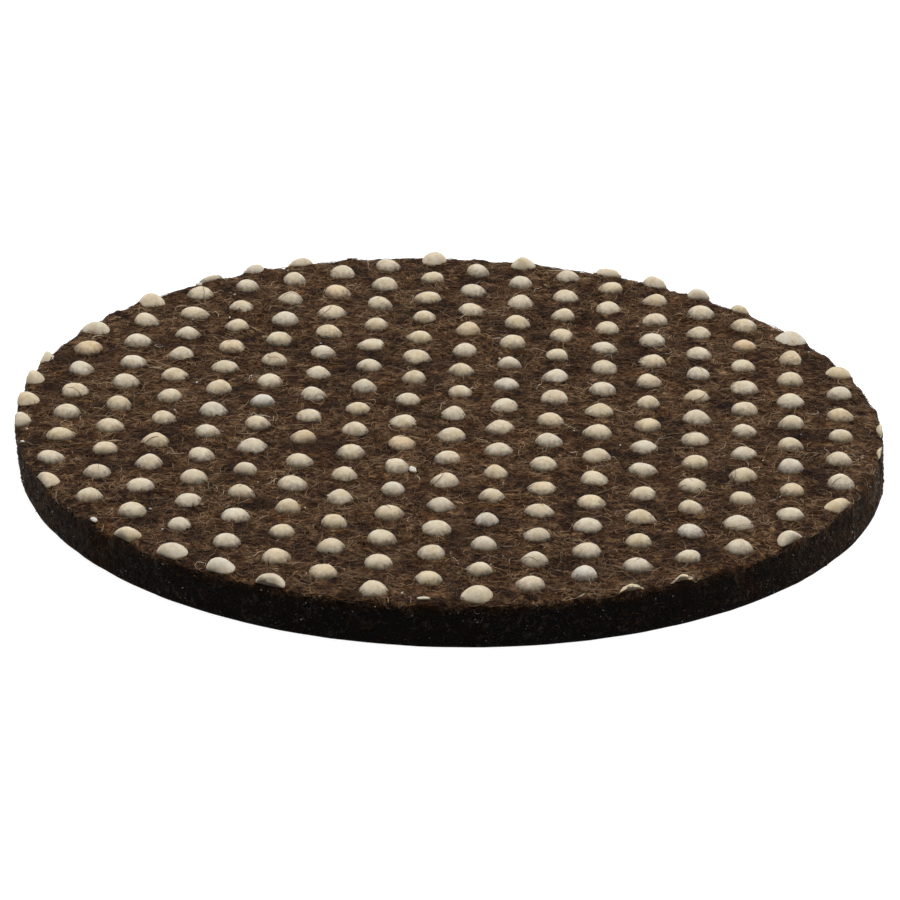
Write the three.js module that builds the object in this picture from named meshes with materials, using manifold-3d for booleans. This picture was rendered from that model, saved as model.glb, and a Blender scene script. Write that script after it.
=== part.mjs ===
// Round anti-slip pad: a disc of needle felt, cut with a round die from a dotted sheet, so that
// a staggered field of soft latex nubs covers its upper face and the nubs at the rim are cut off
// flush with the wall. Millimetres, +Z up. The origin is the centre of the flat underside.

import * as THREE from 'three';
import { mergeGeometries, mergeVertices } from 'three/addons/utils/BufferGeometryUtils.js';
import Module from 'manifold-3d';

const wasm = await Module();
wasm.setup();

// Felt disc
const padDiameter = 100;
const feltThickness = 5.3;
const rimDrop = 0.6; // height of the soft upper edge, where the die pulls the fibres down
const rimReach = 1.2; // how far in from the wall the soft edge reaches
const rimSteps = 3; // straight steps that make the soft edge
const wallFacets = 96;

// Nub field: columns of nubs, each shifted along itself against the one before
const nubPitch = 6.37; // from nub to nub along a column
const columnSpacing = 5.55;
const columnShift = 3.02; // about half a pitch, as printed
const columnHeading = THREE.MathUtils.degToRad(86.85); // from +X, as the die happened to fall
const middleNub = new THREE.Vector2(0.815, 0.195); // the nub nearest to the centre

// One nub: a dome of latex that set on the fibres
const nubWidth = 2.9;
const nubHeight = 0.9;
const nubFlare = 1.5; // 1 is half an ellipse, and more draws the foot out into a thin skirt
const nubSides = 7;
const nubRings = 3; // levels from the foot to where the crown starts
const crownAngle = THREE.MathUtils.degToRad(68); // up the dome's curve, where the crown starts
const widthSpread = 0.09; // share by which one nub may be wider or narrower than the mean
const heightSpread = 0.14;
const placeSpread = 0.16; // how far a nub may sit from its place in the field

// Cut through the rim
const cutInset = 0.05; // cut latex springs back this far inside the felt wall
const leastSliver = 0.465; // a cut nub narrower than this crumbles off

const padRadius = padDiameter / 2;

/** A repeatable number from -1 to 1 for a nub's column, row and the quality asked for. */
function chance(column, row, quality) {
  const wave = Math.sin(column * 12.9898 + row * 78.233 + quality * 37.719) * 43758.5453;
  return 2 * (wave - Math.floor(wave)) - 1;
}

/** Turns a profile of [radius, height] pairs round the Z axis into a closed shape. */
function revolve(profile, facets) {
  const outline = profile.map(([radius, height]) => new THREE.Vector2(radius, height));
  return new THREE.LatheGeometry(outline, facets).rotateX(Math.PI / 2);
}

/** A closed three.js shape as a solid that can be joined and cut. */
function toSolid(geometry) {
  const bare = geometry.clone();
  bare.deleteAttribute('normal');
  bare.deleteAttribute('uv');
  const merged = mergeVertices(bare, 1e-5);
  const corners = merged.index.array;
  const faces = [];
  for (let at = 0; at < corners.length; at += 3) {
    const [a, b, c] = corners.slice(at, at + 3);
    if (a !== b && b !== c && c !== a) faces.push(a, b, c);
  }
  const vertProperties = new Float32Array(merged.attributes.position.array);
  const triVerts = new Uint32Array(faces);
  return new wasm.Manifold(new wasm.Mesh({ numProp: 3, vertProperties, triVerts }));
}

/** A solid as a three.js shape. */
function toGeometry(solid) {
  const { vertProperties, triVerts } = solid.getMesh();
  const geometry = new THREE.BufferGeometry();
  geometry.setAttribute('position', new THREE.BufferAttribute(vertProperties, 3));
  geometry.setIndex(new THREE.BufferAttribute(triVerts, 1));
  geometry.computeVertexNormals();
  return geometry;
}

/** The felt disc: flat below, with a straight cut wall and a soft upper edge, a quarter ellipse. */
function feltDisc() {
  const profile = [[0, 0], [padRadius, 0]];
  for (let step = 0; step <= rimSteps; step += 1) {
    const angle = (step / rimSteps) * (Math.PI / 2);
    profile.push([
      padRadius - rimReach * (1 - Math.cos(angle)),
      feltThickness - rimDrop * (1 - Math.sin(angle)),
    ]);
  }
  profile.push([0, feltThickness]);
  return revolve(profile, wallFacets);
}

/**
 * One latex nub, standing on the felt's upper face at the origin. Its root goes down as far as
 * the soft edge does, so that a nub there has felt under it too.
 */
function nub(width, height, turn, stretch) {
  const radius = width / 2;
  const profile = [[0, -rimDrop], [radius, -rimDrop]];
  for (let ring = 0; ring < nubRings; ring += 1) {
    const angle = (ring / (nubRings - 1)) * crownAngle;
    profile.push([radius * Math.cos(angle), height * Math.sin(angle) ** nubFlare]);
  }
  profile.push([0, height]);
  return revolve(profile, nubSides).scale(stretch, 1 / stretch, 1).rotateZ(turn);
}

/** The nubs whose feet reach into the disc, each a little unlike the next. */
function nubField() {
  const along = new THREE.Vector2(Math.cos(columnHeading), Math.sin(columnHeading));
  const across = new THREE.Vector2(along.y, -along.x);
  const columns = Math.ceil(padRadius / columnSpacing) + 1;
  const rows = Math.ceil((padRadius + columns * columnShift) / nubPitch) + 1;
  const nubs = [];
  for (let column = -columns; column <= columns; column += 1) {
    for (let row = -rows; row <= rows; row += 1) {
      const place = middleNub
        .clone()
        .addScaledVector(across, column * columnSpacing)
        .addScaledVector(along, row * nubPitch + column * columnShift);
      place.x += placeSpread * chance(column, row, 1);
      place.y += placeSpread * chance(column, row, 2);
      const width = nubWidth * (1 + widthSpread * chance(column, row, 3));
      const height = nubHeight * (1 + heightSpread * chance(column, row, 4));
      const turn = Math.PI * chance(column, row, 5);
      const stretch = 1 + widthSpread * chance(column, row, 6);
      if (place.length() - width / 2 > padRadius - leastSliver) continue;
      nubs.push(nub(width, height, turn, stretch).translate(place.x, place.y, feltThickness));
    }
  }
  return mergeGeometries(nubs);
}

/** What the round die leaves of the nubs: everything inside the felt wall. */
function dieOpening() {
  const radius = padRadius - cutInset;
  const top = feltThickness + 2 * nubHeight;
  return revolve([[0, 0], [radius, 0], [radius, top], [0, top]], wallFacets);
}

const nubs = toSolid(nubField()).intersect(toSolid(dieOpening()));
const pad = toSolid(feltDisc()).add(nubs);

const felt = new THREE.MeshStandardMaterial({ color: 0x463b34, roughness: 0.95, metalness: 0 });
const feltPad = new THREE.Mesh(toGeometry(pad), felt);
feltPad.name = 'felt_pad';

const antiSlipPad = new THREE.Group();
antiSlipPad.name = 'anti_slip_pad';
antiSlipPad.add(feltPad);

export default antiSlipPad;
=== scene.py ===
# %% [markdown]
# # A round anti-slip pad of dotted needle felt
#
# The object is a disc of dark brown needle felt, about 100 mm across and 5 mm thick. The felt
# was sold as a sheet with drops of liquid latex set on it in a staggered field, and the pad was
# cut out of that sheet with a round die. So most nubs are whole soft domes, and those at the rim
# are cut through.
#
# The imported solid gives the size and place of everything. It is loaded first, and nothing after
# it moves or resizes it.

# %% Load the frame
import math

import bpy
import numpy as np
from mathutils import Matrix, Vector


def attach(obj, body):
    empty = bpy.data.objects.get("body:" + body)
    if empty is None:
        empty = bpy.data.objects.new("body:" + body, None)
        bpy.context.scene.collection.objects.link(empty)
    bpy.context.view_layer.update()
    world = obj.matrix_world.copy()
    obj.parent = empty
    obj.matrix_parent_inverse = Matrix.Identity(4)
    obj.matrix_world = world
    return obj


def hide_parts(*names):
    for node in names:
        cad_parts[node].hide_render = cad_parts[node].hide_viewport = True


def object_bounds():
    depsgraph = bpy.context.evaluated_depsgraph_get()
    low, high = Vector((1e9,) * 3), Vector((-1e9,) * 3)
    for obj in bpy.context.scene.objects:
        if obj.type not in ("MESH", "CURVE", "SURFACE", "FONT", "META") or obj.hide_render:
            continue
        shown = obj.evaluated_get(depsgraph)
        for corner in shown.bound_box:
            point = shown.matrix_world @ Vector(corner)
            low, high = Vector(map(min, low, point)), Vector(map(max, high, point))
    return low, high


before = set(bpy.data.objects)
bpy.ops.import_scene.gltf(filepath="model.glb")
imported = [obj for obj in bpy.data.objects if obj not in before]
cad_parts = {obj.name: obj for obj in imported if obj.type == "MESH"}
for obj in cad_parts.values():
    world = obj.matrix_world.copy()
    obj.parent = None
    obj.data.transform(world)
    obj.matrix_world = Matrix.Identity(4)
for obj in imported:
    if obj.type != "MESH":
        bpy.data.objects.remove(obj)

CAD_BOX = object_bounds()
print("frame:", sorted(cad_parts), "box", [tuple(round(v, 5) for v in c) for c in CAD_BOX])

# %% [markdown]
# ## What the frame says
#
# The pad's radius is half the box. The felt's upper face can't be read from the box, because the
# nubs stand above it, but it is the height at which most of the solid's corners lie: every nub's
# foot has its corners there.

# %% Sizes from the frame
MM = 0.001
solid_corners = np.array([corner.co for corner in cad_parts["felt_pad"].data.vertices])
levels, how_many = np.unique(np.round(solid_corners[:, 2], 6), return_counts=True)
PAD_RADIUS = (CAD_BOX[1].x - CAD_BOX[0].x) / 2
FELT_TOP = float(levels[how_many.argmax()])
print(f"pad radius {PAD_RADIUS / MM:.2f} mm, felt face at {FELT_TOP / MM:.2f} mm")

# %% [markdown]
# ## The camera
#
# The photograph looks down on the pad from about 24 degrees with a long lens, and the camera was
# tipped by a degree and a half. The aim is a hair above and right of the middle of the
# underside, which puts the pad where the photograph has it without any lens shift.

# %% Camera
CAMERA_HEIGHT_ANGLE = math.radians(23.88)
CAMERA_TIP = math.radians(1.55)
CAMERA_DISTANCE = 555.2 * MM
CAMERA_AIM = Vector((0.41, 0.28, 0.73)) * MM
LENS = 191.5

camera_data = bpy.data.cameras.new("camera")
camera_data.sensor_width = 36
camera_data.lens = LENS
camera = bpy.data.objects.new("camera", camera_data)
bpy.context.scene.collection.objects.link(camera)
towards_camera = Vector((0, -math.cos(CAMERA_HEIGHT_ANGLE), math.sin(CAMERA_HEIGHT_ANGLE)))
camera.location = CAMERA_AIM + towards_camera * CAMERA_DISTANCE
looking = towards_camera.to_track_quat("Z", "Y")
camera.rotation_mode = "QUATERNION"
camera.rotation_quaternion = looking @ Matrix.Rotation(CAMERA_TIP, 3, "Z").to_quaternion()
bpy.context.scene.camera = camera
print("camera at", tuple(round(v, 4) for v in camera.location))

# %% [markdown]
# ## Finishes
#
# Every finish is a Principled shader whose colour, and often bump, come from a few noise nodes in
# the pad's own space, or from a number that the shape carries at each point. Colours are written
# as the eye names them, from 0 to 255, and turned into light values once. The surroundings and
# the floor are built with the same helpers.

# %% Helpers for finishes


def paint(red, green, blue):
    """A colour from 0 to 255 as the light values that a shader takes."""
    shares = np.array([red, green, blue]) / 255
    light = np.where(shares <= 0.04045, shares / 12.92, ((shares + 0.055) / 1.055) ** 2.4)
    return (*light.tolist(), 1.0)


def set_inputs(tree, node, inputs):
    """Sets inputs of a node, by name or number, to values or to other nodes' outputs."""
    for label, value in inputs.items():
        if isinstance(value, bpy.types.NodeSocket):
            tree.links.new(value, node.inputs[label])
        else:
            node.inputs[label].default_value = value


def add_node(tree, kind, inputs, **settings):
    """A new node of this kind with these settings and inputs."""
    node = tree.nodes.new("ShaderNode" + kind)
    for label, value in settings.items():
        setattr(node, label, value)
    set_inputs(tree, node, inputs)
    return node


def empty_tree(thing):
    """The node tree of a material or a world, with nothing in it."""
    thing.use_nodes = True
    thing.node_tree.nodes.clear()
    return thing.node_tree


def new_finish(name, roughness, gloss):
    """A material, its node tree and its Principled shader."""
    finish = bpy.data.materials.new(name)
    finish.use_nodes = True
    tree = finish.node_tree
    shader = tree.nodes["Principled BSDF"]
    set_inputs(tree, shader, {"Roughness": roughness, "Specular IOR Level": gloss})
    return finish, tree, shader


def clouds(tree, across, detail, sharp, swirl, seed):
    """Noise in the pad's own space whose clouds are this many metres across, from 0 to 1. The
    seed moves to another slice of the same noise."""
    place = tree.nodes.new("ShaderNodeTexCoord").outputs["Object"]
    noise = add_node(tree, "TexNoise", {
        "Vector": place, "W": seed, "Scale": 1 / across, "Detail": detail, "Roughness": sharp,
        "Distortion": swirl}, noise_dimensions="4D")
    return noise.outputs["Fac"]


def ramp(tree, value, stops):
    """Colours along a value: each stop is its place and a colour from 0 to 255."""
    node = add_node(tree, "ValToRGB", {"Fac": value})
    row = node.color_ramp.elements
    while len(row) < len(stops):
        row.new(0.5)
    for element, (place, colour) in zip(row, stops):
        element.position = place
        element.color = paint(*colour)
    return node.outputs["Color"]


def arithmetic(tree, operation, one, other):
    """One Math node; each side is a number or another node's output."""
    return add_node(tree, "Math", {0: one, 1: other}, operation=operation).outputs[0]


def mixed(tree, share, one, other, blend="MIX"):
    """Two colours mixed by a share."""
    inputs = {0: share, 6: one, 7: other}
    return add_node(tree, "Mix", inputs, data_type="RGBA", blend_type=blend).outputs[2]


def multiplied(tree, one, other):
    """One colour darkened by another."""
    return mixed(tree, 1.0, one, other, "MULTIPLY")


def carried(tree, label):
    """The number of this label that the shape carries at each point."""
    return add_node(tree, "Attribute", {}, attribute_name=label).outputs["Fac"]


def bumpy(tree, shader, height, strength, depth):
    """Lets a height between 0 and 1 tilt the surface, as if it stood this many metres proud."""
    bump = add_node(tree, "Bump", {"Strength": strength, "Distance": depth, "Height": height})
    set_inputs(tree, shader, {"Normal": bump.outputs["Normal"]})


# %% [markdown]
# ## Light and floor
#
# The pad was photographed under a large soft light from above, with less from the sides and
# next to none from the front, so the cut wall that faces the camera is nearly black. One big
# lamp hangs overhead, just behind the middle of the pad, and two weaker ones stand at the sides.
#
# The floor looks white to the camera and still takes the pad's shadow. What it gives back to
# the pad is a darker grey, so it doesn't light the wall from below.

# %% Light and floor
scene = bpy.context.scene
scene.view_settings.view_transform = "Standard"
WHITE = (1, 1, 1, 1)
SURROUNDING_LIGHT = 0.03
FLOOR_DROP = 0.05 * MM
FLOOR_SIDE = 6.0
FLOOR_GLOW = 0.86
FLOOR_SHOWN = (0.3, 0.3, 0.3, 1)
FLOOR_SCATTERED = (0.03, 0.03, 0.03, 1)


def soft_lamp(name, place, size, power):
    """A square lamp of this size in metres that faces the middle of the pad."""
    lamp = bpy.data.lights.new(name, "AREA")
    lamp.shape = "SQUARE"
    lamp.size = size
    lamp.energy = power
    holder = bpy.data.objects.new(name, lamp)
    holder.location = place
    holder.rotation_mode = "QUATERNION"
    holder.rotation_quaternion = Vector(place).to_track_quat("Z", "Y")
    scene.collection.objects.link(holder)


soft_lamp("lamp_overhead", (0.0, 0.04, 0.80), 0.60, 8.0)
soft_lamp("lamp_left", (-0.60, 0.34, 0.30), 0.30, 1.3)
soft_lamp("lamp_right", (0.60, 0.34, 0.30), 0.30, 1.8)


def seen_directly(tree):
    """1 for rays from the camera or by way of a mirror or glass, and 0 for scattered light."""
    path = tree.nodes.new("ShaderNodeLightPath").outputs
    direct = arithmetic(tree, "MAXIMUM", path["Is Camera Ray"], path["Is Glossy Ray"])
    return arithmetic(tree, "MAXIMUM", direct, path["Is Transmission Ray"])


def chosen_shader(tree, scattered, shown):
    """One shader for scattered light and another for what is seen directly."""
    inputs = {0: seen_directly(tree), 1: scattered.outputs[0], 2: shown.outputs[0]}
    return add_node(tree, "MixShader", inputs).outputs[0]


def white_surroundings():
    """White where the camera looks past everything, and a weak grey light for the pad."""
    world = bpy.data.worlds.new("surroundings")
    tree = empty_tree(world)
    ambient = add_node(tree, "Background", {"Color": WHITE, "Strength": SURROUNDING_LIGHT})
    white = add_node(tree, "Background", {"Color": WHITE, "Strength": 1.0})
    add_node(tree, "OutputWorld", {"Surface": chosen_shader(tree, ambient, white)})
    return world


def floor_finish():
    """A floor that looks white and keeps shadows, but scatters only a little light."""
    finish = bpy.data.materials.new("floor")
    tree = empty_tree(finish)
    glow = add_node(tree, "Emission", {"Color": WHITE, "Strength": FLOOR_GLOW})
    pale = add_node(tree, "BsdfDiffuse", {"Color": FLOOR_SHOWN})
    shown = add_node(tree, "AddShader", {0: glow.outputs[0], 1: pale.outputs[0]})
    scattered = add_node(tree, "BsdfDiffuse", {"Color": FLOOR_SCATTERED})
    add_node(tree, "OutputMaterial", {"Surface": chosen_shader(tree, scattered, shown)})
    return finish


scene.world = white_surroundings()
half = FLOOR_SIDE / 2
floor_mesh = bpy.data.meshes.new("floor")
floor_corners = [(-half, -half), (half, -half), (half, half), (-half, half)]
floor_mesh.from_pydata([(x, y, -FLOOR_DROP) for x, y in floor_corners], [], [(0, 1, 2, 3)])
floor_mesh.materials.append(floor_finish())
floor = bpy.data.objects.new("floor", floor_mesh)
scene.collection.objects.link(floor)

# %% [markdown]
# ## Helpers for shapes
#
# Every piece below is worked out in whole arrays. A mesh is one list of points, one list of
# four-cornered faces, a map of where each face lies in the texture square, and the numbers per
# point that its finish reads.
#
# Felt is lumpy at many scales, so there is one source of smooth random height for all of it.
# The die went through the felt a little askew, so the cut leans to the right on its way down,
# and the disc has drawn itself out of round by some tenths of a millimetre. Every piece is moved
# along with that as it is made.

# %% Helpers for shapes
CUT_LEAN = 0.45 * MM
OUT_OF_ROUND = 0.20 * MM
ROUND_POWER = 6
LUMP_CUBES = 64


def eased(share):
    """A share from 0 to 1 with a gentle start and end: 3t squared minus 2t cubed."""
    return share * share * (3 - 2 * share)


def lumps(points, size, seed):
    """Smooth random heights from -1 to 1: a random value at each corner of a grid of cubes of
    this size, eased across each cube along every axis."""
    values = np.random.default_rng(seed).uniform(-1, 1, (LUMP_CUBES,) * 3)
    spot = points / size
    base = np.floor(spot).astype(int)
    blend = eased(spot - base)
    total = np.zeros(points.shape[:-1])
    for corner in np.ndindex(2, 2, 2):
        share = np.prod(np.abs(1 - np.array(corner) - blend), axis=-1)
        at = (base + corner) % LUMP_CUBES
        total += share * values[at[..., 0], at[..., 1], at[..., 2]]
    return total


def unit(vectors):
    """Each vector divided by its own length."""
    return vectors / np.maximum(np.linalg.norm(vectors, axis=-1, keepdims=True), 1e-12)


def reach_of(points):
    """How far each point is from the pad's axis."""
    return np.hypot(points[..., 0], points[..., 1])


def direction(angle):
    """Flat directions at these angles from +X."""
    return np.stack([np.cos(angle), np.sin(angle)], -1)


def at_level(flat, level):
    """Flat places as points at this level, or each at its own."""
    return np.concatenate([flat, np.broadcast_to(level, flat.shape[:-1])[..., None]], -1)


def turns(spokes):
    """The angles of this many spokes, evenly round a circle."""
    return np.linspace(0, 2 * math.pi, spokes, endpoint=False)


def bands(rings):
    """Quads between each ring of point numbers and the next."""
    ahead = np.roll(rings, -1, axis=1)
    return np.stack([rings[:-1], rings[1:], ahead[1:], ahead[:-1]], -1).reshape(-1, 4)


def fan(middle, ring):
    """Triangles from one point to a ring of point numbers, as quads whose last corner repeats."""
    ahead = np.roll(ring, -1)
    return np.stack([np.full(len(ring), middle), ring, ahead, ahead], -1)


def repeated(faces, size, count):
    """The faces of one thing with this many points, for each of count such things."""
    return (faces[None] + size * np.arange(count)[:, None, None]).reshape(-1, 4)


def settle(points):
    """Moves points to the right by the share of the cut's lean that belongs to their height, and
    outwards or inwards by the cosine of three times their angle, nearly all of it at the rim."""
    x, y, z = points.T
    reach = reach_of(points)
    swell = OUT_OF_ROUND * np.cos(3 * np.arctan2(y, x)) * (reach / PAD_RADIUS) ** ROUND_POWER
    stretch = 1 + swell / np.maximum(reach, MM)
    lean = CUT_LEAN * (1 - np.clip(z / FELT_TOP, 0, 1))
    return np.stack([x * stretch + lean, y * stretch, z], -1)


def make_piece(name, points, faces, finish, map_places, numbers):
    """A mesh object from arrays: points (n, 3), quads (m, 4), the texture place of each face
    corner (m, 4, 2) and a dictionary of one number per point. A quad whose last two corners are
    the same point becomes a triangle."""
    mesh = bpy.data.meshes.new(name)
    points = settle(points.reshape(-1, 3))
    keep = np.ones(faces.shape, bool)
    keep[:, 3] = faces[:, 3] != faces[:, 2]
    sizes = keep.sum(1)
    mesh.vertices.add(len(points))
    mesh.vertices.foreach_set("co", points.astype(np.float32).ravel())
    mesh.loops.add(int(sizes.sum()))
    mesh.loops.foreach_set("vertex_index", faces[keep].astype(np.int32))
    mesh.polygons.add(len(faces))
    mesh.polygons.foreach_set("loop_start", (np.cumsum(sizes) - sizes).astype(np.int32))
    mesh.polygons.foreach_set("use_smooth", np.full(len(faces), True))
    mesh.update(calc_edges=True)
    layer = mesh.uv_layers.new(name="OFBake")
    layer.uv.foreach_set("vector", map_places.reshape(-1, 4, 2)[keep].astype(np.float32).ravel())
    for label, values in numbers.items():
        field = mesh.attributes.new(label, "FLOAT", "POINT")
        field.data.foreach_set("value", values.astype(np.float32).ravel())
    mesh.materials.append(finish)
    mesh.validate()
    piece = bpy.data.objects.new(name, mesh)
    scene.collection.objects.link(piece)
    triangles = int((sizes - 2).sum())
    print(f"{name}: {len(points)} points, {triangles} triangles")
    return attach(piece, "root")


# %% [markdown]
# ## The felt's finish
#
# Needle felt of recycled fibre is a mix: mostly dark brown, with grey-brown, tan, ochre and
# rust fibres, in soft clouds some millimetres wide. Under the loose fibres the mat is a tangle
# of strands with dark pores between them; the pores are painted shade. The strands are drawn as
# the contour lines of a swirled noise, which run side by side, bend and close on themselves as
# matted hair does.

# %% Felt finish


def strands(tree, across, lines, seed):
    """Fine strands, from 0 between them to 1 along their backs: a swirled noise, times the number
    of lines, folded up and down."""
    many = arithmetic(tree, "MULTIPLY", clouds(tree, across, 1.5, 0.5, 0.8, seed), lines)
    return arithmetic(tree, "PINGPONG", many, 1.0)


def felt_shade(tree, colour):
    """A fibre colour under two sizes of cloud: broad ones that turn it darker and browner or
    lighter and greyer, and small ones that only darken it."""
    wide = ramp(tree, clouds(tree, 6 * MM, 3.0, 0.6, 0.4, 3.0), [
        (0.34, (154, 138, 122)), (0.46, (216, 205, 191)), (0.54, (246, 239, 227)),
        (0.66, (255, 254, 250))])
    small = ramp(tree, clouds(tree, 1.8 * MM, 2.0, 0.5, 0.6, 4.0), [
        (0.36, (168, 150, 132)), (0.55, (255, 255, 255))])
    return multiplied(tree, colour, multiplied(tree, wide, small))


def mat_finish():
    """The matted body of the felt: strands of mixed tones over dark pores, which are painted
    shade, and greyer where the die cut it."""
    finish, tree, shader = new_finish("felt_mat", 0.95, 0.1)
    coarse = strands(tree, 1.5 * MM, 9.0, 1.0)
    fine = strands(tree, 0.9 * MM, 7.0, 2.0)
    tangle = arithmetic(tree, "MULTIPLY", arithmetic(tree, "MAXIMUM", coarse, fine),
                        clouds(tree, 0.8 * MM, 3.0, 0.6, 0.0, 5.0))
    # The darkest stops, between the strands, are painted shade in the pores.
    upper = ramp(tree, tangle, [
        (0.10, (24, 14, 8)), (0.32, (60, 42, 28)), (0.48, (100, 76, 54)), (0.68, (148, 122, 94))])
    wall = ramp(tree, tangle, [
        (0.12, (8, 9, 10)), (0.36, (43, 41, 41)), (0.56, (138, 128, 121))])
    patches = ramp(tree, clouds(tree, 1.3 * MM, 2.0, 0.6, 0.3, 6.0), [
        (0.40, (92, 92, 94)), (0.58, (255, 255, 255))])
    # Where 'cut' is 0, at the wall's far left and right, the face colour stands as painted light.
    colour = mixed(tree, carried(tree, "cut"), upper, multiplied(tree, wall, patches))
    set_inputs(tree, shader, {"Base Color": felt_shade(tree, colour)})
    bumpy(tree, shader, tangle, 0.9, 0.12 * MM)
    return finish


def fibre_finish(name, gloss, stops):
    """Fibres whose own colour comes from the number 'tone', and turns to ochre or rust where the
    number 'warm' says so."""
    finish, tree, shader = new_finish(name, 0.7, gloss)
    own = ramp(tree, carried(tree, "tone"), stops)
    rust = ramp(tree, carried(tree, "tone"), [
        (0.0, (62, 36, 20)), (0.5, (112, 70, 36)), (1.0, (152, 110, 62))])
    colour = mixed(tree, carried(tree, "warm"), own, rust)
    set_inputs(tree, shader, {"Base Color": felt_shade(tree, colour)})
    return finish


FELT_MAT = mat_finish()
# Darker than the layers above: partly the felt's own mix, partly painted shade under them.
FIBRES_DEEP = fibre_finish("fibres_deep", 0.12, [
    (0.0, (26, 16, 9)), (0.4, (62, 43, 28)), (0.8, (104, 80, 57)), (1.0, (136, 111, 86))])
FIBRES_MIDDLE = fibre_finish("fibres_middle", 0.12, [
    (0.0, (38, 25, 15)), (0.35, (90, 67, 47)), (0.7, (144, 116, 88)), (1.0, (190, 164, 133))])
FIBRES_TOP = fibre_finish("fibres_top", 0.25, [
    (0.0, (74, 54, 38)), (0.4, (127, 105, 83)), (0.75, (172, 152, 127)),
    (0.93, (203, 187, 163)), (1.0, (236, 229, 214))])
# Its top stops, up to bluish white, colour the bright wall specks: partly pale fibre ends, partly
# painted glints.
FIBRES_WALL = fibre_finish("fibres_wall", 0.1, [
    (0.0, (13, 13, 15)), (0.5, (60, 55, 52)), (0.80, (124, 113, 105)),
    (0.90, (146, 152, 162)), (1.0, (238, 244, 255))])
FELT_FINISHES = (FELT_MAT, FIBRES_DEEP, FIBRES_MIDDLE, FIBRES_TOP, FIBRES_WALL)
print("felt finishes:", [finish.name for finish in FELT_FINISHES])

# %% [markdown]
# ## The field of nubs
#
# The nubs stand in columns that lean a little, and each column is shifted against the one before
# by about half a pitch. The values and the rule for each nub's small differences are those of the
# solid, so every nub is laid out exactly on its own solid, which the print at the end measures.
# After that it moves only with the felt, by the tenths of a millimetre that the pad has settled.
#
# The felt and its fibres need to know how near the next nub is. The field's two steps turn any
# place into a column and a row, and one of the nine nubs round that spot is the nearest.

# %% Nub field
NUB_PITCH = 6.37 * MM
COLUMN_SPACING = 5.55 * MM
COLUMN_SHIFT = 3.02 * MM
COLUMN_HEADING = math.radians(86.85)
MIDDLE_NUB = np.array([0.815, 0.195]) * MM
NUB_WIDTH = 2.9 * MM
NUB_HEIGHT = 0.9 * MM
WIDTH_SPREAD, HEIGHT_SPREAD, PLACE_SPREAD = 0.09, 0.14, 0.16 * MM
CUT_INSET = 0.05 * MM
LEAST_SLIVER = 0.465 * MM
FOOT_REACH = 0.6  # of a nub's foot from its middle, as a share of its width, with some to spare

ALONG = np.array([math.cos(COLUMN_HEADING), math.sin(COLUMN_HEADING)])
ACROSS = np.array([ALONG[1], -ALONG[0]])
COLUMN_STEP = COLUMN_SPACING * ACROSS + COLUMN_SHIFT * ALONG
ROW_STEP = NUB_PITCH * ALONG


def chance(column, row, quality):
    """A repeatable number from -1 to 1 for a nub's column and row and the quality asked for:
    what is left behind the point of a large multiple of a sine."""
    wave = np.sin(column * 12.9898 + row * 78.233 + quality * 37.719) * 43758.5453
    return 2 * (wave - np.floor(wave)) - 1


def nub_at(column, row):
    """Place, width and height of the nub of this column and row."""
    place = MIDDLE_NUB + np.outer(column, COLUMN_STEP) + np.outer(row, ROW_STEP)
    place = place + PLACE_SPREAD * np.stack([chance(column, row, q) for q in (1, 2)], -1)
    width = NUB_WIDTH * (1 + WIDTH_SPREAD * chance(column, row, 3))
    height = NUB_HEIGHT * (1 + HEIGHT_SPREAD * chance(column, row, 4))
    return place, width, height


def nub_field():
    """Place, width and height of each nub that reaches the disc."""
    count = math.ceil(PAD_RADIUS / COLUMN_SPACING) + 6
    column, row = (g.ravel() for g in np.mgrid[-count:count + 1, -count:count + 1])
    place, width, height = nub_at(column, row)
    on = np.linalg.norm(place, axis=1) - width / 2 <= PAD_RADIUS - LEAST_SLIVER
    return place[on], width[on], height[on]


def nearest_nub(points):
    """How far each point is from the middle of its nearest nub, as a share of that nub's radius,
    and the nub's height."""
    flat = points[..., :2].reshape(-1, 2)
    steps = np.stack([COLUMN_STEP, ROW_STEP])
    middle = np.round((flat - MIDDLE_NUB) @ np.linalg.inv(steps))
    away = np.full(len(flat), np.inf)
    tall = np.zeros(len(flat))
    for step in np.ndindex(3, 3):
        column, row = (middle + step - 1).T
        place, width, height = nub_at(column, row)
        share = np.linalg.norm(flat - place, axis=1) / (width / 2)
        tall = np.where(share < away, height, tall)
        away = np.minimum(share, away)
    return away.reshape(points.shape[:-1]), tall.reshape(points.shape[:-1])


PLACE, WIDTH, HEIGHT = nub_field()
REACH = np.linalg.norm(PLACE, axis=1)
whole = REACH + WIDTH * FOOT_REACH < PAD_RADIUS - CUT_INSET
tops = at_level(PLACE, FELT_TOP + HEIGHT)[whole]
tall_corners = solid_corners[solid_corners[:, 2] > FELT_TOP + 0.6 * NUB_HEIGHT]
off = [np.linalg.norm(tall_corners - top, axis=1).min() for top in tops]
print(f"{len(PLACE)} nubs, {int((~whole).sum())} near the rim; "
      f"crowns lie {max(off) / MM:.4f} mm from the solid's at most")
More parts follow.
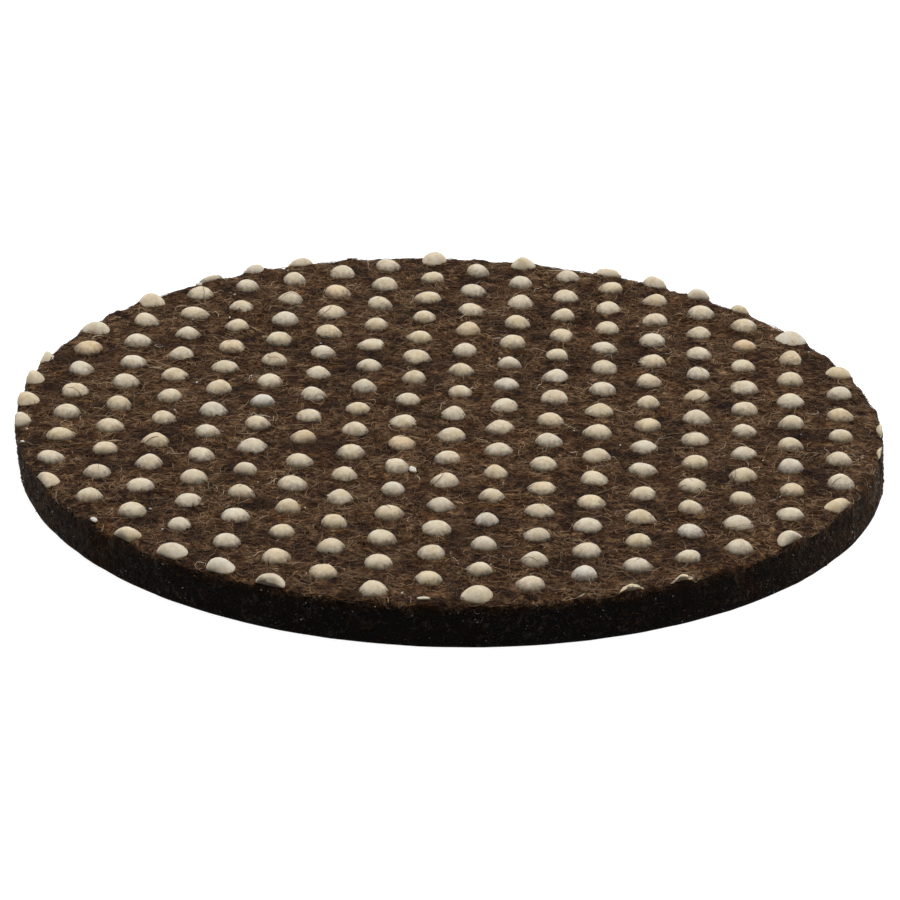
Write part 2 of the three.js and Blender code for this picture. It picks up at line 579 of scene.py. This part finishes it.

# %% [markdown]
# ## The felt body
#
# The body is one closed skin: an upper sheet, the cut wall with its soft upper edge, and a flat
# underside. A square grid is bent into a disc, so that the mesh is as fine at the rim as in the
# middle and has no pole. The wall hangs from its rim, row by row, and the underside closes it.
#
# The body lies a little inside the solid, because loose fibres fill the last fraction of a
# millimetre. Every point is pushed along its own normal by lumps of several sizes, most near
# the upper rim, where the die crushed the felt, and a low collar rises round each nub, where the
# latex drew the fibres up. The underside stays flat, because the pad lies on it. The cut wall
# is darker than the face, but at the far left and right it is painted nearly as light as the
# face: painted light, where light from the sides falls on it.

# %% Felt body
SHEET_CELLS = 168
RIM_DROP = 0.6 * MM
RIM_REACH = 1.2 * MM
RIM_ROWS = 4
WALL_ROWS = 9
SKIN_ROWS = RIM_ROWS + WALL_ROWS - 1
LOOSE_ON_FACE = 0.25 * MM
LOOSE_ON_WALL = 0.08 * MM
COLLAR = 0.13 * MM
COLLAR_REACH = 0.6  # past a nub's foot, in its radii
HELD_UP = 0.7
WALL_CALM = 0.75
CUT_BLEND = 1.2 * MM
SWELLS = ((0.10, 3.4, 1), (0.10, 1.5, 2), (0.05, 0.7, 3))
MAT_TOP = FELT_TOP - LOOSE_ON_FACE
MAT_RADIUS = PAD_RADIUS - LOOSE_ON_WALL


def disc_grid(cells):
    """Places on a disc of radius 1, evenly spread: a square grid whose squares round the middle
    become rings. A ring's number is the larger of the two square coordinates, and the smaller,
    as a share of it, gives the turn within each quarter."""
    line = np.linspace(-1, 1, cells + 1)
    a, b = np.meshgrid(line, line, indexing="ij")
    wide = np.abs(a) >= np.abs(b)
    ring = np.where(wide, a, b)
    other = np.where(wide, b, a)
    safe = np.where(ring == 0, 1, ring)
    turn = math.pi / 4 * other / safe
    angle = np.where(wide, turn, math.pi / 2 - turn)
    return ring[..., None] * direction(angle)


def grid_rim(cells):
    """The numbers of a grid's border points, counter-clockwise as seen from above."""
    number = np.arange((cells + 1) ** 2).reshape(cells + 1, cells + 1)
    return np.concatenate([number[:-1, 0], number[-1, :-1], number[:0:-1, -1], number[0, :0:-1]])


def near_rim(points, within):
    """0 in the middle of the face and 1 at its rim, rising over this distance inside the rim."""
    return eased(np.clip((reach_of(points) - PAD_RADIUS + within) / within, 0, 1))


def beside_nub(points):
    """1 under a nub and at its foot, falling smoothly to 0 at 1.6 of its radius."""
    away, _ = nearest_nub(points)
    return eased(np.clip((1 + COLLAR_REACH - away) / COLLAR_REACH, 0, 1))


def rim_fall(points):
    """How far the soft edge has dropped below the face. Next to a nub it drops less, because
    the latex holds the fibres up."""
    past = np.clip((reach_of(points) - PAD_RADIUS + RIM_REACH) / RIM_REACH, 0, 1)
    return RIM_DROP * (1 - np.sqrt(1 - past**2)) * (1 - HELD_UP * beside_nub(points))


def felt_relief(points):
    """How far the felt swells above or sinks below its even face at each place, in metres. A
    swell is its height and size in millimetres and its seed. Down the wall all grow calmer."""
    flat = points * (1, 1, 0.4)
    calm = 1 - WALL_CALM * np.clip((MAT_TOP - points[..., 2]) / (3 * MM), 0, 1)
    swell = sum(height * lumps(flat, size * MM, seed) for height, size, seed in SWELLS)
    swell += 0.12 * near_rim(points, 2.5 * MM) * lumps(flat, 2.6 * MM, 4)
    return calm * (COLLAR * beside_nub(points) + MM * swell)


# Used to paint the wall lighter at its far left and right: painted light.
def sideways(points):
    """1 at the far left and right of the pad and 0 at its front and back: the fourth power of
    the cosine of the angle round it."""
    return (points[..., 0] / np.maximum(reach_of(points), MM)) ** 4


def rim_profile():
    """Radius, height and upward tilt of each row from the face's edge down to the floor: a
    quarter of an ellipse, then a straight wall. Tilt is 1 where the row faces up and 0 where it
    faces sideways."""
    turn = np.linspace(0, math.pi / 2, RIM_ROWS + 1)[1:]
    radius = MAT_RADIUS - RIM_REACH * (1 - np.sin(turn))
    height = MAT_TOP - RIM_DROP * (1 - np.cos(turn))
    tilt = RIM_REACH * np.cos(turn) / np.hypot(RIM_REACH * np.cos(turn), RIM_DROP * np.sin(turn))
    down = np.linspace(height[-1], 0, WALL_ROWS + 1)[1:-1]
    radius = np.concatenate([radius, np.full(len(down), MAT_RADIUS)])
    height = np.concatenate([height, down])
    tilt = np.concatenate([tilt, np.zeros(len(down))])
    return radius, height, tilt


def felt_body():
    """The points of the felt's whole skin, and the numbers of those on the upper sheet's rim."""
    sheet = disc_grid(SHEET_CELLS).reshape(-1, 2)
    upper = at_level(sheet * (MAT_RADIUS - RIM_REACH), MAT_TOP)
    lower = at_level(sheet * MAT_RADIUS, 0)
    rim = grid_rim(SHEET_CELLS)
    outward = unit(at_level(sheet[rim], 0))
    radius, height, tilt = rim_profile()
    wall = outward[None] * radius[:, None, None] + (0, 0, 1) * height[:, None, None]
    facing = unit(outward[None] * np.sqrt(1 - tilt**2)[:, None, None]
                  + (0, 0, 1) * tilt[:, None, None])
    points = np.concatenate([upper, wall.reshape(-1, 3), lower])
    normals = np.concatenate([np.tile((0, 0, 1.0), (len(upper), 1)), facing.reshape(-1, 3),
                              np.zeros((len(lower), 3))])
    normals[len(upper) + wall[..., 0].size + rim] = outward
    even_fall = MAT_TOP - points[:, 2]
    held = np.where(normals[:, 2] > 0, even_fall * HELD_UP * beside_nub(points), 0)
    points = points + normals * felt_relief(points)[:, None]
    points[:, 2] = np.maximum(points[:, 2] + held, 0)
    return points, rim


def felt_body_faces(rim):
    """Quads of the upper sheet, the wall and the underside, wound to face outwards."""
    number = np.arange((SHEET_CELLS + 1) ** 2).reshape(SHEET_CELLS + 1, -1)
    sheet = np.stack([number[:-1, :-1], number[1:, :-1], number[1:, 1:], number[:-1, 1:]], -1)
    sheet = sheet.reshape(-1, 4)
    wall = number.size + np.arange(SKIN_ROWS * len(rim)).reshape(SKIN_ROWS, -1)
    lower_start = number.size + wall.size
    rings = np.concatenate([[rim], wall, [lower_start + rim]])
    return sheet, bands(rings), lower_start + sheet[:, ::-1]


MAP_FACE = (0.37, 0.63, 0.36)
MAP_UNDERSIDE = (0.13, 0.13, 0.12)
MAP_WALL_LEFT = 0.76
MAP_WALL_STEP = 0.06


def felt_body_map(points, sheet, rim_length):
    """Where each face lies in the texture square: the upper face is a large disc, the underside
    a small one, and the wall is four upright strips, a quarter turn each."""
    def disc(faces, place):
        across, up, radius = place
        return points[faces][..., :2] / PAD_RADIUS * radius + (across, up)

    step = np.tile(np.arange(rim_length), SKIN_ROWS + 1)
    row = np.repeat(np.arange(SKIN_ROWS + 1), rim_length)
    quarter_length = rim_length // 4
    quarter, along = step // quarter_length, step % quarter_length
    left = MAP_WALL_LEFT + MAP_WALL_STEP * quarter
    width = 0.9 * MAP_WALL_STEP / (SKIN_ROWS + 1)
    across = np.stack([row, row + 1, row + 1, row], -1) * width + left[:, None]
    up = np.stack([along, along, along + 1, along + 1], -1) / quarter_length * 0.98 + 0.01
    strips = np.stack([across, up], -1)
    under = disc(sheet[:, ::-1], MAP_UNDERSIDE)
    return np.concatenate([disc(sheet, MAP_FACE), strips, under])


body_points, rim_numbers = felt_body()
body_faces = felt_body_faces(rim_numbers)
body_map = felt_body_map(body_points, body_faces[0], len(rim_numbers))
below_rim = np.clip((MAT_TOP - 0.5 * RIM_DROP - body_points[:, 2]) / CUT_BLEND, 0, 1)
# The cut colour leaves out the wall's far left and right, which keep the face's lighter colour as
# painted light.
cut_share_but_lit_sides = below_rim * near_rim(body_points, 2 * MM) * (1 - sideways(body_points))
felt = make_piece("felt_body", body_points, np.concatenate(body_faces), FELT_MAT, body_map,
                  {"cut": cut_share_but_lit_sides})
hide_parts("felt_pad")

# %% [markdown]
# ## The latex finish
#
# Each drop has its own tint, from cream to greyish white and, on a few, peach. At the skirt the
# latex is so thin that the felt shows through it, in blotches, because it ran down between the
# fibres. That felt colour is also painted shade round the dome's lower edge.

# %% Latex finish


def latex_finish():
    """Cream latex: each drop its own tint, and blotched with felt colour at its thin skirt, which
    is partly painted shade round the dome's foot.
    """
    finish, tree, shader = new_finish("latex", 0.6, 0.25)
    cream = ramp(tree, carried(tree, "tint"), [
        (0.0, (203, 202, 200)), (0.25, (202, 193, 175)), (0.75, (203, 189, 161)),
        (1.0, (205, 171, 134))])
    stain = ramp(tree, clouds(tree, 1.1 * MM, 4.0, 0.75, 0.3, 7.0), [
        (0.35, (230, 221, 208)), (0.6, (255, 255, 255))])
    blotches = arithmetic(tree, "SUBTRACT", clouds(tree, 0.5 * MM, 2.0, 0.6, 0.5, 8.0), 0.5)
    # Felt colour by thinness and blotches: partly felt seen through thin latex, partly painted
    # shade at the foot.
    soaked_and_shaded = arithmetic(tree, "ADD", carried(tree, "thin_and_shade"),
                        arithmetic(tree, "MULTIPLY", blotches, 1.2))
    share = add_node(tree, "MapRange", {"Value": soaked_and_shaded, "From Min": 0.12, "From Max": 1.25},
                     interpolation_type="SMOOTHSTEP").outputs["Result"]
    set_inputs(tree, shader, {
        "Base Color": mixed(tree, share, multiplied(tree, cream, stain), paint(72, 55, 40)),
        "Subsurface Weight": 0.7, "Subsurface Radius": (1.0, 0.75, 0.5),
        "Subsurface Scale": 0.6 * MM})
    bumpy(tree, shader, clouds(tree, 0.4 * MM, 3.0, 0.6, 0.0, 9.0), 0.4, 0.04 * MM)
    return finish


LATEX = latex_finish()
print("finish:", LATEX.name)

# %% [markdown]
# ## The latex nubs
#
# A nub is a drop that set where it fell: a soft dome whose foot thins out into a skirt and is
# drawn a little way along the fibres, so it ends in blunt corners. Each is a small grid of rings
# and spokes, and the ones that the die met are made finer. What lies beyond the cut is moved in
# to it, and the cut's upper edge is rolled in, because soft latex gives way under the die. Two
# nubs that only just reached the rim crumbled, and a small scrap is left of each further down.

# %% Latex nubs
NUB_SINK = 0.6 * MM
NUB_FOOT = 0.12 * MM
CUT_ROLL, CUT_ASKEW, CUT_UPRIGHT = 0.35, 0.1, 0.45
CUT_TUCK, CUT_RAGGED = 0.4 * MM, 0.05 * MM
DRAWN_FOOT_REACH = 0.62  # the same with the drawn-out corners
CRUMBLED = np.array([(-38.8, -31.2), (-2.0, -49.7)]) * MM
CRUMBLED_WITHIN = 2 * MM
STANDS = np.linalg.norm(PLACE[:, None] - CRUMBLED, axis=-1).min(1) > CRUMBLED_WITHIN


def nub_shares(rings):
    """Radius of each ring as a share of the foot's, from near the crown to the foot and once
    more below it, and 1 for that last ring, which is sunk into the felt."""
    radius = np.sin(np.linspace(0, math.pi / 2, rings + 1)[1:])
    return np.append(radius, 0.96), np.append(np.zeros(rings), 1)


def dome(radius, flare):
    """Height of a nub at a share of its radius: 1 minus the radius squared, to the power of the
    flare. A flare of a half gives an ellipse, and more draws the foot out into a skirt."""
    return (1 - np.clip(radius, 0, 1) ** 2) ** flare


def nub_points(chosen, rings, spokes):
    """Points of the chosen nubs, as an array of nub, ring and spoke. The foot's outline is a
    circle with three slow waves and two blunt corners that point along the fibres."""
    rng = np.random.default_rng(77)
    waves = rng.uniform(-1, 1, (len(PLACE), 3, 2))[chosen]
    heading = rng.normal(0, 0.5, len(PLACE))[chosen, None]
    drawn = rng.uniform(0.02, 0.20, (len(PLACE), 2))[chosen, :, None]
    tip = rng.normal(0, 0.05, (len(PLACE), 2))[chosen] * WIDTH[chosen, None]
    flare = rng.uniform(0.50, 0.80, len(PLACE))[chosen, None, None]
    radius, sunk = nub_shares(rings)
    turn = turns(spokes)
    outline = np.ones((len(chosen), spokes))
    for wave in range(3):
        phase = math.pi * waves[:, wave, :1]
        outline += 0.045 * waves[:, wave, 1:] * np.cos((wave + 2) * turn + phase)
    corners = drawn[:, 0] * np.clip(np.cos(turn), 0, 1) ** 6
    corners = corners + drawn[:, 1] * np.clip(-np.cos(turn), 0, 1) ** 6
    skirt = radius[None, :, None] ** 4
    spread = radius[None, :, None] * (outline[:, None] + (corners[:, None] + 0.05) * skirt)
    angle = (turn + heading)[:, None]
    half_width = (WIDTH[chosen] / 2)[:, None, None]
    share = dome(radius[None, :, None], flare) * (1 - sunk[None, :, None])
    x = spread * np.cos(angle) * half_width + tip[:, None, None, 0] * share
    y = spread * np.sin(angle) * half_width + tip[:, None, None, 1] * share
    rise = HEIGHT[chosen][:, None, None] * share
    z = FELT_TOP + rise - NUB_FOOT * skirt - NUB_SINK * sunk[None, :, None]
    middle = PLACE[chosen]
    grid = np.stack([x + middle[:, :1, None], y + middle[:, 1:, None], z + 0 * x], -1)
    grid[..., 2] += 0.03 * MM * lumps(grid, 0.8 * MM, 21) * (1 - sunk)[None, :, None]
    crown = at_level(middle + tip, FELT_TOP + HEIGHT[chosen])
    points = np.concatenate([crown[:, None], grid.reshape(len(chosen), -1, 3)], 1)
    points[..., 2] -= rim_fall(points)
    return points


def nub_faces(count, rings, spokes):
    """Quads between the rings of each nub, and a fan of triangles at its crown and below. Also
    returns the faces of one nub."""
    ring = 1 + np.arange((rings + 1) * spokes).reshape(rings + 1, spokes)
    last = ring[-1]
    below = np.stack([np.full(spokes - 2, last[0]), last[2:], last[1:-1], last[1:-1]], -1)
    one = np.concatenate([fan(0, ring[0]), bands(ring), below])
    return repeated(one, 1 + ring.size, count), one


def cell_map(count, flat, margin=0.08):
    """Gives each of count like pieces its own cell of the texture square. flat is where the
    corners of one piece's faces lie in a cell, from 0 to 1."""
    across = math.ceil(math.sqrt(count))
    number = np.arange(count)
    origin = np.stack([number % across, number // across], -1)[:, None, None]
    return (origin + margin + (1 - 2 * margin) * flat[None]) / across


def die_cut(points):
    """Moves what lies past the cut in to it, the foot a little further, so that it ends behind
    the wall. Then the cut's upper edge is rolled over: next to the cut the latex is pressed
    down towards a height that grows as the square root of the way in. It is pressed most at the
    front and least at the back. Also tells which points were moved."""
    face = FELT_TOP - (1 - HELD_UP) * RIM_DROP
    reach = reach_of(points)
    ragged = lumps(points, 0.3 * MM, 32)
    tucked = CUT_TUCK * np.clip((face - points[..., 2]) / (0.3 * MM), 0, 1)
    limit = PAD_RADIUS - CUT_INSET + CUT_RAGGED * ragged
    stop = limit - tucked
    points[..., :2] *= np.minimum(1, stop / np.maximum(reach, 1e-9))[..., None]
    roll = CUT_ROLL - CUT_ASKEW * points[..., 1] / PAD_RADIUS
    inward = np.clip(limit - reach, 0, None)
    ceiling = face + np.sqrt(inward * NUB_HEIGHT / roll) * (1 + 0.25 * ragged)
    above = np.clip(points[..., 2] - ceiling, 0, None)
    points[..., 2] -= (1 - CUT_UPRIGHT) * above
    return points, (reach > stop) | (above > 0)


def make_nubs(name, chosen, rings, spokes, cut):
    """The chosen nubs as one piece. The latex is thin towards the foot, and most so at the two
    ends that are drawn out along the fibres. The felt colour that this lets through is partly
    painted shade round the foot."""
    points = nub_points(chosen, rings, spokes)
    radius, sunk = nub_shares(rings)
    turn = turns(spokes)
    # Felt share towards the foot: partly thin latex, partly painted shade round the dome's foot,
    # also at front and back.
    thin_and_shade = np.outer(np.clip((radius - 0.5) / 0.5, 0, 1), 0.7 + 0.3 * np.cos(turn) ** 2)
    thin_and_shade = np.tile(np.append(0, thin_and_shade), (len(chosen), 1))
    if cut:
        points, on_cut = die_cut(points)
        thin_and_shade = np.where(on_cut, 0, 0.3 * thin_and_shade)
    faces, one = nub_faces(len(chosen), rings, spokes)
    out = (np.arange(rings + 1) + 1) / (rings + 1)
    flat = 0.5 + 0.5 * out[:, None, None] * direction(turn)
    flat = np.concatenate([[(0.5, 0.5)], flat.reshape(-1, 2)])[one]
    tint = np.random.default_rng(5).beta(5, 5, len(PLACE))[chosen]
    tint = np.repeat(tint, points.shape[1])
    piece = make_piece(name, points, faces, LATEX, cell_map(len(chosen), flat),
                       {"thin_and_shade": thin_and_shade, "tint": tint})
    return piece


reaches_wall = REACH + WIDTH * DRAWN_FOOT_REACH > PAD_RADIUS - CUT_INSET
make_nubs("latex_nubs", np.flatnonzero(~reaches_wall), 4, 12, cut=False)
make_nubs("latex_nubs_cut", np.flatnonzero(reaches_wall & STANDS), 10, 28, cut=True)

# %% [markdown]
# ## The loose fibres
#
# What the eye sees of needle felt is its top fibres: thin, curling hairs that lie flat, cross each
# other and dive back into the mat. Each one here is a closed three-sided tube along a curve.
# A curve's heading starts at random and turns steadily, with a swing on top, and its height
# rises out of the felt and sinks back in.

# %% Fibre shapes


def curls(count, knots, length, bend, rng):
    """Flat curves about their own middles, as (count, knots, 2): each step goes one way and the
    heading turns by the bend, in radians per millimetre, and swings about it."""
    heading = rng.uniform(0, 2 * math.pi, count)
    turning = rng.normal(0, bend, count) * length / MM
    swing = rng.normal(0, 0.4, count)
    share = np.linspace(0, 1, knots)
    middle = (share[1:] + share[:-1]) / 2
    way = heading[:, None] + turning[:, None] * (middle - 0.5)
    way += swing[:, None] * np.sin(2 * math.pi * middle)
    step = direction(way) * (length / (knots - 1))[:, None, None]
    path = np.concatenate([np.zeros((count, 1, 2)), np.cumsum(step, axis=1)], 1)
    return path - path.mean(1, keepdims=True)


def arch(knots, lift, rng):
    """Height of each knot above where the fibre lies: one arch from end to end, with a little
    waver at the inner knots."""
    share = np.sin(math.pi * np.linspace(0, 1, knots))
    waver = rng.normal(0, 0.5, (len(lift), knots))
    return lift[:, None] * share * (1 + waver)


def tubes(paths, radius, upward):
    """Three-sided closed tubes along paths (count, knots, 3), thinner towards both ends. upward
    is the direction that one corner of the tube faces. Returns points, faces and map places."""
    count, knots = paths.shape[:2]
    run = unit(np.gradient(paths, axis=1))
    side = unit(np.cross(run, upward))
    lift = np.cross(side, run)
    share = np.linspace(0, 1, knots)
    taper = 0.35 + 0.65 * np.sin(math.pi * share) ** 0.6
    girth = (radius[:, None] * taper)[:, :, None, None]
    angle = math.pi / 2 + np.arange(3) * 2 * math.pi / 3
    ring = np.cos(angle)[:, None] * side[:, :, None] + np.sin(angle)[:, None] * lift[:, :, None]
    points = paths[:, :, None] + girth * ring
    number = np.arange(knots * 3).reshape(knots, 3)
    caps = np.array([number[0, [0, 1, 2, 2]], number[-1, [0, 2, 1, 1]]])
    faces = repeated(np.concatenate([bands(number), caps]), knots * 3, count)
    along = np.repeat(np.arange(knots - 1), 3)
    turn = np.tile(np.arange(3), knots - 1)
    flat = np.stack([np.stack([along, along + 1, along + 1, along], -1) / (knots - 1),
                     np.stack([turn, turn, turn + 1, turn + 1], -1) / 3], -1)
    ends = np.array([[[0, 0], [0.1, 0.5], [0, 1], [0, 1]],
                     [[1, 0], [1, 1], [0.9, 0.5], [0.9, 0.5]]])
    return points, faces, cell_map(count, np.concatenate([flat, ends]))


# %% [markdown]
# ## Where the felt is warm
#
# Tufts of ochre and rust-coloured fibre show here and there. Most are strewn by chance, and the
# ones that catch the eye, such as the ochre tuft at the front right of the rim, are listed.

# %% Warm tufts
TUFTS = np.array([
    (32.6, -37.5, 1.7), (30.0, -35.2, 1.3), (-36.7, -33.2, 1.2), (-38.5, -32.6, 1.0),
    (2.3, -11.7, 1.5), (7.0, -5.2, 1.7), (5.6, -24.3, 1.2), (-7.1, -18.1, 1.6),
    (-1.3, -28.3, 1.3), (-34.0, -17.7, 1.2), (-37.0, -22.3, 1.1), (46.9, -16.0, 0.9)]) * MM


def warmth(middles, rng):
    """How ochre the fibre at each middle is, from 0 to 1: the nearest tufts and the strewn ones,
    each fibre more or less by chance."""
    strewn = np.clip(3.2 * lumps(at_level(middles[:, :2], 0), 2.3 * MM, 41) - 1.7, 0, 1)
    away = np.linalg.norm(middles[:, None, :2] - TUFTS[None, :, :2], axis=-1) / TUFTS[None, :, 2]
    near = np.exp(-away**2).max(1)
    return np.clip(np.maximum(strewn, 1.3 * near) * rng.uniform(0.2, 1.2, len(middles)), 0, 1)


def make_fibres(name, paths, radius, upward, tone, finish, rng):
    """One piece of many fibres, each with its own tone and warmth."""
    points, faces, places = tubes(paths, radius, upward)
    warm = warmth(paths.mean(1), rng)
    corners = paths.shape[1] * 3
    piece = make_piece(name, points, faces, finish, places,
                       {"tone": np.repeat(tone, corners), "warm": np.repeat(warm, corners)})
    return piece


def on_face(flat):
    """Points on the mat's own surface at these places of the face."""
    points = at_level(flat, FELT_TOP)
    points[..., 2] = MAT_TOP - rim_fall(points) + felt_relief(points)
    return points


def held_in(flat, spare):
    """Places on the face with those beyond the wall, and this much more, brought back to it."""
    reach = reach_of(flat)
    return flat * (np.minimum(reach, PAD_RADIUS + spare) / reach)[..., None]


def spread_out(rng, count, radius):
    """Places spread evenly over a disc of this radius."""
    reach = radius * np.sqrt(rng.uniform(0, 1, count))
    return reach[:, None] * direction(rng.uniform(0, 2 * math.pi, count))


def face_fibres(name, count, knots, lengths, radii, lifts, bend, tones, finish, seed):
    """Fibres that lie on the upper face. Pairs give the least and the most, in millimetres."""
    rng = np.random.default_rng(seed)
    middle = spread_out(rng, count, PAD_RADIUS)
    flat = middle[:, None] + curls(count, knots, rng.uniform(*lengths, count) * MM, bend, rng)
    paths = on_face(held_in(flat, rng.uniform(-0.30, 0.00, count)[:, None] * MM))
    calm = 1 - 0.6 * near_rim(paths, 2 * MM)
    paths[..., 2] += arch(knots, rng.uniform(*lifts, count) * MM, rng) * calm - 0.03 * MM
    radius = rng.uniform(*radii, count) * MM
    return make_fibres(name, paths, radius, (0, 0, 1.0), tones(rng, count), finish, rng)


def wall_fibres(name, count, knots, lengths, radii, lifts, bend, tones, finish, seed):
    """Fibres that lie on the cut wall. Pairs give the least and the most, in millimetres."""
    rng = np.random.default_rng(seed)
    angle = rng.uniform(0, 2 * math.pi, count)
    level = rng.uniform(0.1 * MM, FELT_TOP - 0.5 * MM, count)
    curl = curls(count, knots, rng.uniform(*lengths, count) * MM, bend, rng)
    turn = angle[:, None] + curl[..., 0] / PAD_RADIUS
    height = np.clip(level[:, None] + curl[..., 1], 0.08 * MM, MAT_TOP - 0.1 * MM)
    over = np.clip((height - MAT_TOP + RIM_DROP) / RIM_DROP, 0, 1)
    reach = MAT_RADIUS - RIM_REACH * (1 - np.sqrt(1 - over**2))
    outward = at_level(direction(turn), 0)
    paths = outward * reach[..., None] + (0, 0, 1) * height[..., None]
    proud = felt_relief(paths) + arch(knots, rng.uniform(*lifts, count) * MM, rng)
    paths = paths + outward * proud[..., None]
    radius = rng.uniform(*radii, count) * MM
    upper = np.clip(1 - (MAT_TOP - level) / (1.5 * MM), 0, 1)
    middles = paths.mean(1)
    tone = np.clip(tones(rng, count) * (1 + 0.7 * lumps(middles, 1.6 * MM, 12)), 0, 1)
    # Tones lifted within 1.5 mm of the wall's top, and at the far left and right, where the lift
    # is painted light.
    tone += 0.65 * (1 - tone) * np.maximum(upper, sideways(middles))
    return make_fibres(name, paths, radius, outward, np.minimum(tone, 1), finish, rng)


# %% [markdown]
# ## Laying the fibres
#
# The mix is laid in layers, as it lies on the real pad: dark fibres deepest, brown and
# grey-brown over them, and then the lighter ones, with a few nearly white ones on top. The
# deepest ones are also painted darker, as shade under the layers above. The wall has short ends
# only, because the die cut the fibres there, and among them a few bright specks, partly pale
# fibre ends and partly painted glints. The wall's fibres are lighter near its top, and at its
# far left and right, where that is painted light.

# %% Lay the fibres


def even_mix(rng, count):
    """Tones spread evenly about the middle of a finish."""
    return rng.beta(1.5, 1.5, count)


def pale_few(rng, count):
    """Mostly middling tones, with one fibre in sixty nearly white."""
    tone = rng.beta(1.8, 2.4, count) * 0.93
    return np.where(rng.uniform(0, 1, count) < 1 / 60, 1.0, tone)


def dark_mix(rng, count):
    """Mostly dark tones."""
    return rng.beta(1.2, 3.2, count) * 0.8


def bright_mix(rng, count):
    """From grey to nearly white."""
    return rng.uniform(0.86, 1, count)


face_fibres("fibres_deep", 7600, 5, (1.0, 3.0), (0.045, 0.076), (0.00, 0.16), 0.9,
            even_mix, FIBRES_DEEP, 11)
face_fibres("fibres_middle", 7600, 5, (0.8, 2.8), (0.034, 0.062), (0.04, 0.30), 1.3,
            even_mix, FIBRES_MIDDLE, 12)
face_fibres("fibres_top", 5200, 7, (1.6, 5.5), (0.022, 0.044), (0.08, 0.36), 0.7,
            pale_few, FIBRES_TOP, 13)
wall_fibres("fibres_wall", 5200, 5, (0.3, 1.1), (0.030, 0.055), (0.00, 0.08), 1.4,
            dark_mix, FIBRES_WALL, 14)
# Bright specks on the wall: partly pale fibre ends, partly painted glints.
wall_fibres("wall_specks_and_glints", 800, 3, (0.10, 0.32), (0.040, 0.085), (0.02, 0.08), 0.5,
            bright_mix, FIBRES_WALL, 17)

# %% [markdown]
# ## What lies across the nubs
#
# Some fibres had settled on the wet latex, so here and there a hair runs over a dome. A few small
# drops and scraps of latex lie between the nubs and on the rim. The drops are little ovals, each
# half sunk in the felt, and the ones that show in the photograph are listed.

# %% Hairs across nubs and stray drops
HAIR_KNOTS = 9
HAIRS = 38


def hairs_across(name, seed):
    """Hairs that run over nubs: where a hair is over a dome it lies on the latex, and beyond
    the dome it comes down to the felt."""
    rng = np.random.default_rng(seed)
    on = rng.choice(np.flatnonzero(whole), HAIRS, replace=False)
    aside = rng.uniform(-0.9, 0.9, (HAIRS, 2)) * WIDTH[on, None] / 2
    curl = curls(HAIRS, HAIR_KNOTS, rng.uniform(2.6, 5.5, HAIRS) * MM, 0.25, rng)
    flat = held_in((PLACE[on] + aside)[:, None] + curl, -0.1 * MM)
    paths = on_face(flat)
    away, tall = nearest_nub(paths)
    latex = FELT_TOP - rim_fall(paths) + tall * dome(away, 0.7)
    felt_level = paths[..., 2] + arch(HAIR_KNOTS, np.full(HAIRS, 0.15 * MM), rng)
    paths[..., 2] = np.maximum(felt_level, np.where(away < 1.05, latex + 0.03 * MM, 0))
    radius = rng.uniform(0.025, 0.045, HAIRS) * MM
    tone = rng.uniform(0.0, 0.7, HAIRS)
    return make_fibres(name, paths, radius, (0, 0, 1.0), tone, FIBRES_TOP, rng)


DROP_RINGS, DROP_SPOKES = 5, 8
DROPS = np.array([
    (-3.74, -15.80, 1.60, 0.85, 0.62), (-38.30, -31.60, 1.30, 0.70, 0.45),
    (-48.30, -10.60, 0.60, 0.40, 0.25), (-30.90, 38.30, 0.90, 0.60, 0.45),
    (31.60, 33.60, 0.80, 0.60, 0.35), (-2.00, -49.30, 1.50, 0.45, 0.35)]) * MM
STRAY_DROPS = 36


def drop_shape():
    """An oval drop of size 1 between two poles, as points and faces, with its map."""
    down = np.linspace(0, math.pi, DROP_RINGS + 2)[1:-1]
    turn = turns(DROP_SPOKES)
    girth, height = np.sin(down), np.cos(down)
    ring = np.stack([np.outer(girth, np.cos(turn)), np.outer(girth, np.sin(turn)),
                     np.outer(height, np.ones(DROP_SPOKES))], -1).reshape(-1, 3)
    points = np.concatenate([[(0, 0, 1.0)], ring, [(0, 0, -1.0)]]) / 2
    number = 1 + np.arange(DROP_RINGS * DROP_SPOKES).reshape(DROP_RINGS, DROP_SPOKES)
    bottom = fan(len(points) - 1, number[-1])[:, [0, 2, 1, 1]]
    out = np.concatenate([[0], np.repeat(down / math.pi, DROP_SPOKES), [1]])
    around = np.concatenate([[0], np.tile(turn, DROP_RINGS), [0]])
    flat = 0.5 + 0.5 * out[:, None] * direction(around)
    faces = np.concatenate([fan(0, number[0]), bands(number), bottom])
    return points, faces, flat[faces]


def stray_drops(name, seed):
    """The listed drops, and small ones strewn over the face."""
    rng = np.random.default_rng(seed)
    place = spread_out(rng, STRAY_DROPS, PAD_RADIUS - 1 * MM)
    size = rng.uniform(0.10, 0.26, STRAY_DROPS) * MM
    length = size * rng.uniform(1, 2.2, STRAY_DROPS)
    drops = np.concatenate([DROPS, np.column_stack([place, length, size, size * 0.8])])
    shape, faces, flat = drop_shape()
    heading = rng.uniform(0, math.pi, len(drops))
    heading[[0, 5]] = math.radians(-70), 0
    cos, sin = np.cos(heading)[:, None], np.sin(heading)[:, None]
    x, y, z = (shape * drops[:, None, 2:]).transpose(2, 0, 1)
    level = on_face(drops[:, :2])[:, 2] + 0.18 * MM
    points = np.stack([x * cos - y * sin + drops[:, :1], x * sin + y * cos + drops[:, 1:2],
                       z + level[:, None]], -1)
    points += 0.05 * MM * lumps(points, 0.3 * MM, 51)[..., None]
    faces = repeated(faces, len(shape), len(drops))
    tint = np.repeat(rng.uniform(0, 0.3, len(drops)), len(shape))
    piece = make_piece(name, points, faces, LATEX, cell_map(len(drops), flat),
                       {"tint": tint, "thin_and_shade": np.zeros(len(tint))})
    return piece


hairs_across("fibres_across_nubs", 15)
stray_drops("latex_drops", 16)
